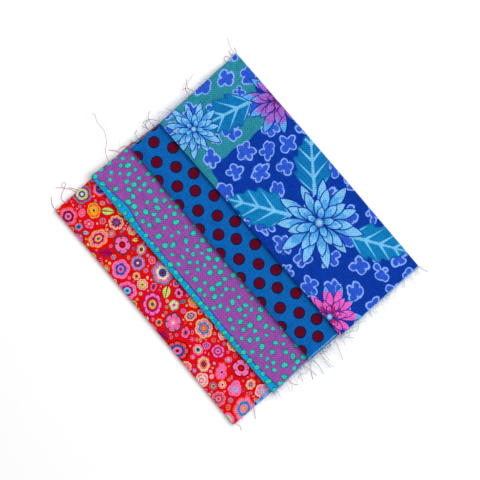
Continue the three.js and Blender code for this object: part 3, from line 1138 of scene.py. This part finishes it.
# The colours of a petal from its root to its tip, for the three kinds of dahlia.
PETAL_ZONES = [
    [(0.0, "#2E86DC"), (0.36, "#4FA6EA"), (0.66, "#7CC3F5")],
    [(0.0, "#B8246B"), (0.4, "#EE63C8"), (0.78, "#57AAEE")],
    [(0.0, "#8A2470"), (0.36, "#A264CC"), (0.68, "#57AAEE")],
]
ROYAL, TEAL_GREEN, DEEP_BLUE = "#0538A5", "#2A8CA0", "#062A95"
PATCH_MM = 38.0
# The green: how it grows toward the far end and, half as fast, toward the left, and where it sets in.
GREEN_TOWARD_FAR, GREEN_TOWARD_LEFT = 0.013, 0.0065
GREEN_FROM, GREEN_BLUR = 0.92, 0.02
PETAL_LINE = 0.028
PETAL_SEED = 10.0
BRUSH_STROKES = 9.0
RAGGED = 0.34
ZONES_BY_FLOWER = 0.6
SHORTEST_PETAL = 0.86
DAHLIA_HEART, DAHLIA_EYE = 0.11, 0.07


def petal_ring(tree, under, place, count, reach, phase):
    """One ring of pointed petals.

    turns = count * direction / (2 pi) + phase is a whole number in the middle of each petal, and that
    number's own chance c makes the petal reach to reach * (0.86 + 0.14 c). At share s of its reach a
    petal has 1 - s^3 of its full width, and across is 0 in its middle and 1 between two petals. The
    colours of a blue flower change with s, and those of the others partly with the distance from the
    flower's middle, so that their tips differ from ring to ring.
    """
    r = place["from_middle"]
    turns = place["direction"].multiply_add(count / (2 * np.pi), phase)
    petal = turns.round()
    number = petal.floored_modulo(float(count)).add(PETAL_SEED * (phase + reach))
    chance = add(tree, "TexWhiteNoise", number, noise_dimensions="1D")
    s = r.divide(chance.multiply_add((1 - SHORTEST_PETAL) * reach, SHORTEST_PETAL * reach))
    across = turns.subtract(petal).absolute().multiply(2.0)
    distance = across.subtract(s.power(3.0).multiply_add(-1.0, 1.0)).multiply(r)

    along = add(tree, "CombineXYZ", turns.multiply(BRUSH_STROKES), s, number)
    strokes = add(tree, "TexNoise", along, 1.0, 0.0).subtract(0.5)
    out = r.multiply_add(ZONES_BY_FLOWER, s.multiply(1 - ZONES_BY_FLOWER))
    colour = colour_steps(strokes.multiply_add(RAGGED, s), PETAL_ZONES[0])
    for kind, stops in enumerate(PETAL_ZONES[1:], start=1):
        other = colour_steps(strokes.multiply_add(RAGGED, out), stops)
        is_kind = place["number"].greater_than(float(kind))
        colour = add(tree, "Mix", is_kind, colour, other, data_type="RGBA")

    line = PETAL_LINE * count / np.pi
    return ink(ink(under, DEEP_BLUE, distance, 0.0, line / 4), colour, distance, -line, line / 4)


def periwinkle(under, place, uneven):
    """A small blossom of four or five round lobes about a round middle.

    The lobes' middles lie at LOBE_OFF of the radius, evenly round. The law of cosines gives the distance
    to the nearest one, sqrt(r^2 + off^2 - 2 r off cos(angle)), where angle is how far the direction is
    from that lobe. The blossom is where the smaller of distance - lobe radius and r - middle radius is
    less than a noise, and so its pale outline is equally wide all round.
    """
    r = place["from_middle"]
    step = place["chances"][0].greater_than(FOUR_LOBED_SHARE).add(4.0).power(-1.0).multiply(2 * np.pi)
    angle = place["direction"].divide(step).pingpong(0.5).multiply(step)
    square = angle.cosine().multiply(r).multiply_add(-2 * LOBE_OFF, r.multiply_add(r, LOBE_OFF**2))
    distance = square.sqrt().subtract(LOBE_RADIUS).smooth_min(r.subtract(MIDDLE_RADIUS), LOBE_BLEND)
    distance = distance.subtract(uneven)
    return ink(ink(under, "#8DB4FF", distance, 0.0), "#2B58D2", distance, -PALE_OUTLINE)


def floral_print(tree, flat):
    """A ground in two colours, and over it periwinkles, leaves and dahlias."""
    u, w, _ = add(tree, "SeparateXYZ", flat)
    patches = add(tree, "TexNoise", flat, 1 / PATCH_MM, 1.0, noise_dimensions="2D")
    toward_far = w.multiply_add(GREEN_TOWARD_FAR, patches)
    greenness = u.multiply_add(-GREEN_TOWARD_LEFT, toward_far)
    green = add(tree, "MapRange", greenness, GREEN_FROM, GREEN_FROM + GREEN_BLUR)
    colour = add(tree, "Mix", green, linear(ROYAL), linear(TEAL_GREEN), data_type="RGBA")
    uneven = add(tree, "TexNoise", flat, UNEVEN_PER_MM, 0.0, noise_dimensions="2D")
    uneven = uneven.multiply_add(UNEVEN_EDGE, -UNEVEN_EDGE / 2)
    for layer in ("periwinkles_b", "periwinkles_a"):
        colour = periwinkle(colour, motif_place(tree, layer), uneven)
    for layer in ("leaves_b", "leaves_a"):
        place = motif_place(tree, layer)
        fill = one_of(place["chances"][0], ["#0A7FBF", "#1586B4", "#0B74B8"])
        colour = leaf(colour, place, fill, "#0B5FA8", "#74C4F2", line=0.07, vein_rate=2.0, lobes=0.12)
    place = motif_place(tree, "dahlias_a")
    for ring in PETAL_RINGS:
        colour = petal_ring(tree, colour, place, *ring)
    colour = ink(colour, DEEP_BLUE, place["from_middle"], DAHLIA_HEART)
    return ink(colour, "#8FCBF5", place["from_middle"], DAHLIA_EYE)


def by_hand(rows, rng, kinds=None):
    """Motifs from a given list: x, y, the two radii, and the turn in degrees."""
    rows = np.array(rows)
    rows[:, 4] = np.radians(rows[:, 4])
    return np.column_stack([rows, rng.random(len(rows)) if kinds is None else kinds])


rng = np.random.default_rng(FLORAL_SEED)
circles = scatter(rng, PERIWINKLES_MM, PERIWINKLE_GAP_MM, FLORAL_WINDOW_MM, FLORAL_REPEAT_MM)
periwinkles = motif_rows(rng, circles, PERIWINKLE_STRETCH)
places = [(u, w, r, r, turn) for u, w, r, turn, _ in DAHLIAS]
dahlias = by_hand(places, rng, kinds=[row[-1] for row in DAHLIAS])
store_motifs("floral_cut", "periwinkles", periwinkles, FLORAL_REPEAT_MM)
store_motifs("floral_cut", "leaves", by_hand(LEAVES, rng), FLORAL_REPEAT_MM)
store_motifs("floral_cut", "dahlias", dahlias, FLORAL_REPEAT_MM, nearest_few=1)
dress("floral_cut", floral_print, "#74BEF6")


# %% [markdown]
# ## The frayed ends
# Where cotton is cut it frays: short lengths of weft slip out, and the ends of the warp stand up along
# the cut. A hair system could make them, but each yarn here should start in a ply and bend its own way,
# so they are tubes along paths worked out together. A yarn sets off across the raw end, turns by an
# even curve, and sinks a little.

# %% Make the frayed ends of the four cuts
FRAY_STEPS = 5
FRAY_SIDES = 4
FRAY_RADIUS_MM = (0.05, 0.09)
# How many yarns there are at the near and at the far end, and how long they are on average.
FRAY_MM = {
    "red_cut": {"near": (120, 1.2), "far": (80, 1.0)},
    "purple_cut": {"near": (270, 3.3), "far": (120, 1.7)},
    "dotted_cut": {"near": (280, 3.5), "far": (90, 1.6)},
    "floral_cut": {"near": (240, 2.8), "far": (130, 1.9)},
}
FRAY_SHORTEST_MM = 0.4
FRAY_LONGEST_MM = 12.0
FRAY_SPREAD = 0.75
FRAY_BEND = 0.9
FRAY_ROOT_MM = 0.5
FRAY_SINKS = (-0.1, 0.25)
FIRST_FRAY_SEED = 51
YARN_TWIST_MM = 0.8
YARN_SHADE = (0.85, 1.12)
# What a noise texture gives, apart from its rarest values.
NOISE_RANGE = (0.3, 0.7)
# The colours of the yarns of a cut, at its raw ends.
FRAY_COLOURS = {
    "red_cut": ["#D99AA8", "#E2C3CA", "#EBDADC", "#C87584", "#DAD3D6"],
    "purple_cut": ["#A9B8CC", "#A88398", "#C6CFDA", "#8FB4CE", "#7FA3BE"],
    "dotted_cut": ["#86B4D2", "#9DBACD", "#5E97BE", "#B393A0", "#B9CBD8"],
    "floral_cut": ["#B9C7D2", "#D2D9DE", "#A3BACB", "#C9B0BA", "#DEE2E4"],
}


def fray_paths(surface, end, count, usual_length, rng):
    """Paths of yarns at a raw end, yarns x points x 3. A yarn starts at a place drawn by chance along
    the end of the strip. At share s of its length its heading is first + bend * s, and it has sunk by
    length * sinks * s^1.5."""
    row, outwards = (0, -1.0) if end == "near" else (-1, 1.0)
    rim = surface[:, row]
    # The 1.001 keeps the last place before the last point of the rim.
    at = rng.uniform(0.0, len(rim) - 1.001, count)
    before = at.astype(int)
    start = rim[before] + (rim[before + 1] - rim[before]) * (at - before)[:, None]
    length = np.minimum(rng.exponential(usual_length, count) + FRAY_SHORTEST_MM, FRAY_LONGEST_MM)
    heading = rng.normal(0.0, FRAY_SPREAD, count)
    bend = rng.normal(0.0, FRAY_BEND, count)
    s = np.linspace(0.0, 1.0, FRAY_STEPS)
    angle = heading[:, None] + bend[:, None] * s
    step = (length / FRAY_STEPS)[:, None]
    across = np.cumsum(np.sin(angle) * step, axis=1)
    out = np.cumsum(np.abs(np.cos(angle)) * step, axis=1)
    sink = -length[:, None] * rng.uniform(*FRAY_SINKS, (count, 1)) * s**1.5
    path = start[:, None] + np.stack([across, outwards * out, sink], axis=-1)
    root = start - np.array([0.0, outwards * FRAY_ROOT_MM, 0.0])
    path = np.concatenate([root[:, None], path], axis=1)
    path[..., 2] = np.maximum(path[..., 2], 2 * FRAY_RADIUS_MM[1])
    return path


def yarn_material(name, colours):
    """Matt cotton yarn. Each yarn takes one of the colours, by its number, and is a little lighter and
    darker along its length, where its twist turns to the light."""

    def looks(tree):
        number = add(tree, "Attribute", attribute_name="yarn_number")["Fac"]
        colour = one_of(add(tree, "TexWhiteNoise", number, noise_dimensions="1D"), colours)
        twist = add(tree, "TexNoise", add(tree, "TexCoord")["Object"], 1 / (YARN_TWIST_MM * MM), 1.0)
        shade = add(tree, "MapRange", twist, *NOISE_RANGE, *YARN_SHADE)
        colour = add(tree, "VectorMath", colour, operation="SCALE", named={"Scale": shade})
        return {"Base Color": colour, "Roughness": 0.95, "Specular IOR Level": 0.1}

    return material(name, looks)


frays = {}
for seed, name in enumerate(ORDER, start=FIRST_FRAY_SEED):
    rng = np.random.default_rng(seed)
    surface = made[name]["surface"]
    paths = np.concatenate([fray_paths(surface, end, *row, rng) for end, row in FRAY_MM[name].items()])
    radius = rng.uniform(*FRAY_RADIUS_MM, (len(paths), 1))
    frays[name] = tubes(name + "_fray", paths, radius, FRAY_SIDES)
    frays[name].data.materials.append(yarn_material(name + "_fray_yarn", FRAY_COLOURS[name]))
    frays[name]
    print(name, len(paths), "frayed yarns")


# %% [markdown]
# ## Longer yarns that have worked loose
# A few yarns are long enough to see one by one: a tangle at the corner of the red cut, hooks and loops
# along the far ends, and a fringe of curved blue and mauve ones at the near end of the dotted cut.
# Their places are listed. Each is a smooth path through its points, which starts inside the cloth
# or lies on the surface.

# %% Lay the longer yarns
# For the yarns of each cut: the height that one starts at and the one that it ends at, its colour, and
# the points that it goes through, x and y.
LOOSE_YARNS = {
    "red_cut": [
        (3.0, 0.4, "pink", [(-42.5, -113.8), (-42.2, -121.4), (-39.5, -125.4)]),
        (3.0, 0.4, "mauve", [(-78.7, -113.9), (-81.8, -119.2), (-84.9, -123.6)]),
        (2.0, 0.4, "pink", [(-100.2, -113.6), (-98.3, -119.2), (-99.9, -123.5)]),
        (2.0, 0.4, "pink", [(-84.6, 129.3), (-82.2, 126.9), (-79.6, 124.1), (-76.2, 119.6), (-73.8, 113.6)]),
        (0.4, 0.4, "pink", [(-79.6, 124.1), (-80.2, 127.0), (-77.6, 128.5), (-76.3, 126.7), (-79.4, 124.4)]),
        (0.4, 2.0, "pink", [(-79.6, 124.1), (-84.3, 122.0), (-86.8, 119.7), (-87.5, 117.0), (-86.1, 113.2)]),
        (0.3, 1.0, "grey", [(-92.7, 126.0), (-95.6, 121.7), (-96.7, 117.8), (-96.4, 113.0)]),
        (0.4, 2.0, "mauve", [(-77.1, 122.5), (-74.3, 119.3), (-70.8, 113.4)]),
        (0.6, 2.0, "rose", [(-31.2, 124.2), (-28.8, 121.3), (-26.5, 118.6), (-25.2, 113.4)]),
        (0.5, 3.0, "mauve", [(-25.0, 118.9), (-20.3, 118.6), (-16.0, 114.6)]),
    ],
    "purple_cut": [
        (6.0, 1.0, "mauve", [(-26.6, -112.8), (-23.9, -122.6), (-23.1, -125.7), (-23.0, -129.2)]),
        (6.0, 0.3, "grey", [(-19.8, -112.4), (-21.2, -119.4), (-23.8, -123.3), (-27.4, -129.9)]),
        (6.0, 3.0, "pale", [(-25.8, -113.4), (-26.8, -121.9), (-30.7, -120.9), (-32.9, -116.9)]),
        (6.0, 1.0, "pale", [(-31.5, -113.0), (-32.6, -119.8), (-33.4, -122.7), (-34.8, -125.7)]),
        (4.0, 2.0, "grey", [(-7.2, 112.4), (-5.8, 119.4), (-2.6, 121.2)]),
        (6.0, 3.0, "mauve", [(9.6, 111.8), (10.2, 121.0), (12.8, 124.6), (15.8, 126.1)]),
        (8.0, 5.0, "rose", [
            (17.5, 111.8), (11.8, 120.0), (6.5, 122.5), (5.2, 122.0), (4.9, 119.8), (4.4, 112.0)
        ]),
        (5.0, 3.0, "rose", [(4.6, 112.4), (4.1, 117.9), (2.4, 120.6)]),
        (5.0, 3.0, "grey", [(4.3, 115.6), (5.6, 119.9), (8.4, 120.9), (10.6, 121.5)]),
    ],
    "dotted_cut": [
        (8.0, 3.5, "mauve", [(8.9, -113.5), (5.1, -124.9), (1.9, -134.0)]),
        (9.0, 7.0, "blue", [
            (4.0, -113.0), (3.3, -116.9), (-2.3, -117.2), (-6.9, -115.7), (-9.0, -116.6), (-7.0, -119.1)
        ]),
        (9.0, 7.5, "blue", [(-7.5, -113.4), (-5.2, -118.6), (-1.2, -118.9), (2.6, -117.6)]),
        (8.0, 5.0, "pink", [(-6.3, -113.6), (-6.5, -120.1), (-6.5, -123.5), (-6.8, -126.9)]),
        (7.0, 4.0, "blue", [(-8.4, -113.4), (-9.4, -121.9), (-10.2, -126.0), (-10.1, -131.6)]),
        (7.0, 3.0, "pale", [(-9.2, -117.5), (-8.6, -126.2), (-8.2, -130.5), (-7.3, -133.6)]),
        (8.0, 2.0, "blue", [(-18.2, -112.6), (-16.5, -121.0), (-16.5, -126.9), (-17.7, -132.4)]),
    ],
    "floral_cut": [
        (12.0, 9.0, "grey", [(12.9, -114.0), (16.9, -121.0), (20.6, -125.9)]),
        (12.0, 10.0, "pale", [(15.4, -114.8), (12.4, -122.0), (11.1, -125.6)]),
        (11.0, 8.0, "mauve", [(30.8, -114.4), (30.0, -120.6), (25.4, -123.4)]),
        (9.0, 7.0, "rose", [(53.6, 113.4), (51.7, 119.4), (47.4, 121.7)]),
        (9.0, 6.0, "rose", [(48.4, 113.0), (49.2, 119.7), (52.8, 123.1), (55.9, 125.9)]),
        (9.0, 5.0, "pale", [(49.6, 113.0), (53.0, 122.3), (57.8, 124.1), (62.6, 125.8)]),
        (3.0, 0.6, "grey", [(98.6, -113.8), (101.6, -121.2), (102.7, -124.7)]),
        (3.0, 1.2, "pale", [(84.4, -114.2), (82.3, -118.8), (79.4, -121.6)]),
        (2.5, 0.6, "pale", [(98.8, 113.8), (101.1, 123.8), (103.9, 130.3)]),
        (2.0, 0.6, "grey", [(99.9, 113.8), (101.9, 116.9), (102.9, 120.4)]),
        (3.0, 0.8, "mauve", [(98.0, 113.9), (97.1, 118.2), (97.9, 121.6)]),
        (3.0, 2.0, "rose", [(89.5, 114.0), (90.4, 118.8), (93.2, 119.2), (94.6, 115.0)]),
    ],
}
YARN_TINTS = {
    "pink": "#D08C9A",
    "rose": "#93404F",
    "mauve": "#987A8A",
    "grey": "#7B818D",
    "pale": "#AFBECA",
    "blue": "#3F7FA6",
}
YARN_STEPS = 10
YARN_SIDES = 6
YARN_RADIUS_MM = 0.18
POINTS_OF_A_YARN = 32


def even_path(points, count):
    """A smooth path through points, cut into the same number of even steps whatever its length."""
    fine = smooth_path(points, YARN_STEPS)
    run = length_along(fine)
    even = np.linspace(0.0, run[-1], count)
    return np.stack([np.interp(even, run, fine[:, axis]) for axis in range(3)], axis=1)


loose = {}
for name in ORDER:
    paths = []
    for first_height, last_height, _, points in LOOSE_YARNS[name]:
        heights = np.linspace(first_height, last_height, len(points))
        paths.append(even_path(np.column_stack([points, heights]), POINTS_OF_A_YARN))
    loose[name] = tubes(name + "_loose_yarns", np.array(paths), YARN_RADIUS_MM, YARN_SIDES)
    mesh = loose[name].data
    for tint, colour in YARN_TINTS.items():
        mesh.materials.append(yarn_material(f"{tint}_yarn_of_{name}", [colour]))
    tints = np.array([list(YARN_TINTS).index(tint) for _, _, tint, _ in LOOSE_YARNS[name]])
    numbers = np.empty(len(mesh.polygons), np.float32)
    mesh.attributes["yarn_number"].data.foreach_get("value", numbers)
    mesh.polygons.foreach_set("material_index", tints[numbers.astype(int)])
    loose[name]
    print(name, len(paths), "loose yarns")

loose_thread.data.materials.append(yarn_material("long_thread_yarn", ["#D2A6AF"]))


# %% [markdown]
# Each cut is a sheet of cloth that was cut flat: as long as the strip is from selvage to selvage, and
# nine inches wide. It lies folded on the cut below, and the lowest one lies on the table.

# %% Print the flat size of each cut
for order, (name, cut) in enumerate(made.items()):
    cut["piece"]
    cut["length"] * MM
    NINE_INCHES_MM * MM
    [made[ORDER[order - 1]]["piece"].name] if order else []
    frays[name]
    loose[name]
    print(name, f"cut to {cut['length']:.0f} x {NINE_INCHES_MM:.1f} mm")


# %% [markdown]
# ## The white table and the light
# The photo is bright: the table is nearly pure white, and the cloth shows its full colours. So there is
# one soft light, 1.15 m wide and 1.5 m up, well to the right, where it leaves the folds that face left a
# little darker. A white world fills the shadows, down to a narrow dark line beside each fold. The view
# transform is the standard one, because the colours of the prints are meant to come out as written.

# %% Add the table, the light and the world
TABLE_MM = 3000.0
TABLE_COLOUR = "#FAFAFA"
TABLE_GRAIN_MM = 4.0
TABLE_SHADE = (0.985, 1.0)
LIGHT_SIZE_MM = 1150.0
LIGHT_PLACE_MM = (640.0, -130.0, 1500.0)
LIGHT_TURN_DEG = (5.0, 23.0, 0.0)
LIGHT_WATTS = 22.5
WORLD_STRENGTH = 0.47

corners = np.array([(-1, -1, 0), (1, -1, 0), (1, 1, 0), (-1, 1, 0)]) * TABLE_MM * MM
table_mesh = bpy.data.meshes.new("table")
table_mesh.from_pydata(corners.tolist(), [], [(0, 1, 2, 3)])
table = in_scene("table", table_mesh)
table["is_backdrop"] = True


def paper(tree):
    """Matt white paper, with a grain so faint that it shows only as a little less than white."""
    grain = add(tree, "TexNoise", add(tree, "TexCoord")["Object"], 1 / (TABLE_GRAIN_MM * MM), 2.0)
    tone = add(tree, "MapRange", grain, *NOISE_RANGE, *TABLE_SHADE)
    white = add(tree, "VectorMath", linear(TABLE_COLOUR)[:3], operation="SCALE", named={"Scale": tone})
    return {"Base Color": white, "Roughness": 0.9, "Specular IOR Level": 0.1}


table_mesh.materials.append(material("white_paper", paper))

softbox_data = bpy.data.lights.new("softbox", "AREA")
softbox_data.size = LIGHT_SIZE_MM * MM
softbox_data.energy = LIGHT_WATTS
softbox = in_scene("softbox", softbox_data)
softbox.location = np.array(LIGHT_PLACE_MM) * MM
softbox.rotation_euler = np.radians(LIGHT_TURN_DEG)

world = bpy.data.worlds.new("pale_room")
world.use_nodes = True
background = world.node_tree.nodes["Background"]
background.inputs["Color"].default_value = linear("#FFFFFF")
background.inputs["Strength"].default_value = WORLD_STRENGTH
bpy.context.scene.world = world
bpy.context.scene.view_settings.view_transform = "Standard"
print(f"softbox {LIGHT_SIZE_MM:.0f} mm wide, {LIGHT_PLACE_MM[2]:.0f} mm up")


# %% [markdown]
# ## Measure and finish
# The box around the visual model is measured and printed, and kept beside the box around the CAD
# model.

# %% Measure the visual box and finish
visual_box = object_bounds()
boxes = {
    "cad": [list(corner) for corner in cad_box],
    "visual": [list(corner) for corner in visual_box],
}
print("visual box in mm:", [[round(value / MM, 1) for value in corner] for corner in boxes["visual"]])
